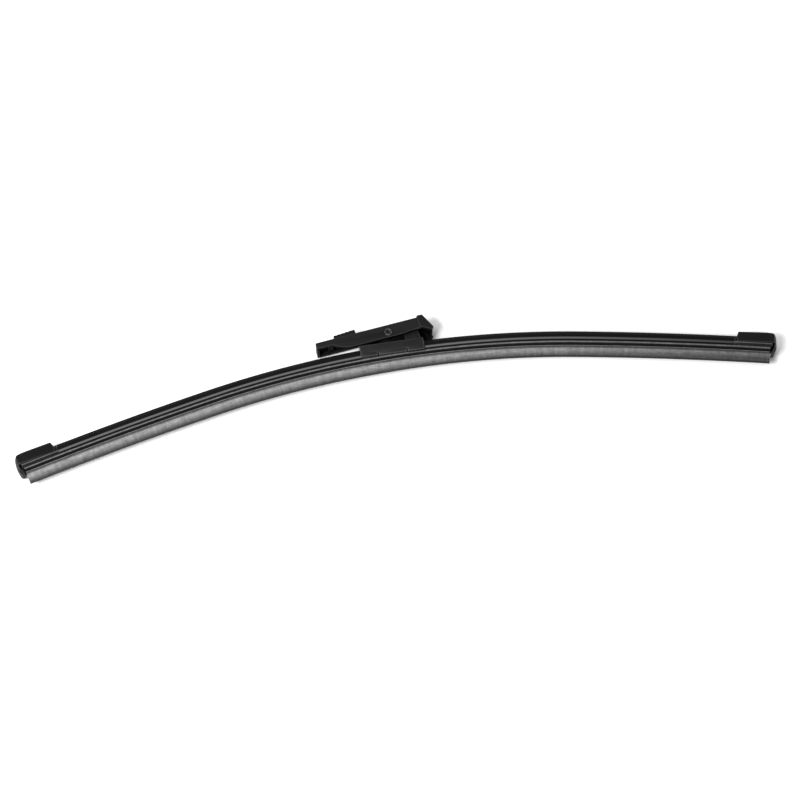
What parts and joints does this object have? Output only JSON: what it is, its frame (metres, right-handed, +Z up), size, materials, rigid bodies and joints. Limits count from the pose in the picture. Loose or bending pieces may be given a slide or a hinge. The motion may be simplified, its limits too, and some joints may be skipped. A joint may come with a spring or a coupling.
{
  "type": "wiper blade",
  "caption": "Arched flat rear wiper blade: a rubber lip on spring rails under flexible covers, with end caps and a pivoting adapter that an arm slides onto",
  "frame": {"origin": "middle of the bounding box's footprint, on the surface the blade lies on", "axes": "+X along the blade's chord toward the hood end of the adapter, +Y from the wiping lip toward the blade's back, +Z up from the surface"},
  "size_m": [0.3412, 0.049, 0.013],
  "materials": {
    "rubber": "matte black rubber with a grey graphite bloom on the lip",
    "rail": "bare spring steel strip",
    "cover": "satin black flexible extrusion",
    "cap": "matte black moulding",
    "base": "matte black moulding",
    "adapter": "matte black moulding",
    "rivet": "bare steel, rolled over at both ends"
  },
  "bodies": {
    "blade": {"wiper_rubber": "rubber", "rail_front": "rail", "rail_rear": "rail", "cover_left": "cover", "cover_right": "cover", "end_cap_left": "cap", "end_cap_right": "cap", "connector_base": "base"},
    "adapter_body": {"adapter": "adapter", "pivot_rivet": "rivet"},
    "tongue": {"lock_tongue": "adapter"}
  },
  "joints": [
    {"name": "adapter_pivot", "type": "hinge", "parent": "blade", "child": "adapter_body", "pos_m": [0.0003, 0.01838, 0.00668], "axis": [0, -0.0211, 0.9998], "range_deg": [-12, 4]},
    {"name": "tongue_press", "type": "hinge", "parent": "adapter_body", "child": "tongue", "pos_m": [-0.02583, 0.01825, 0.00668], "axis": [0, -0.0211, 0.9998], "range_deg": [-9, 0], "stiffness_Nm_per_rad": 0.3}
  ]
}
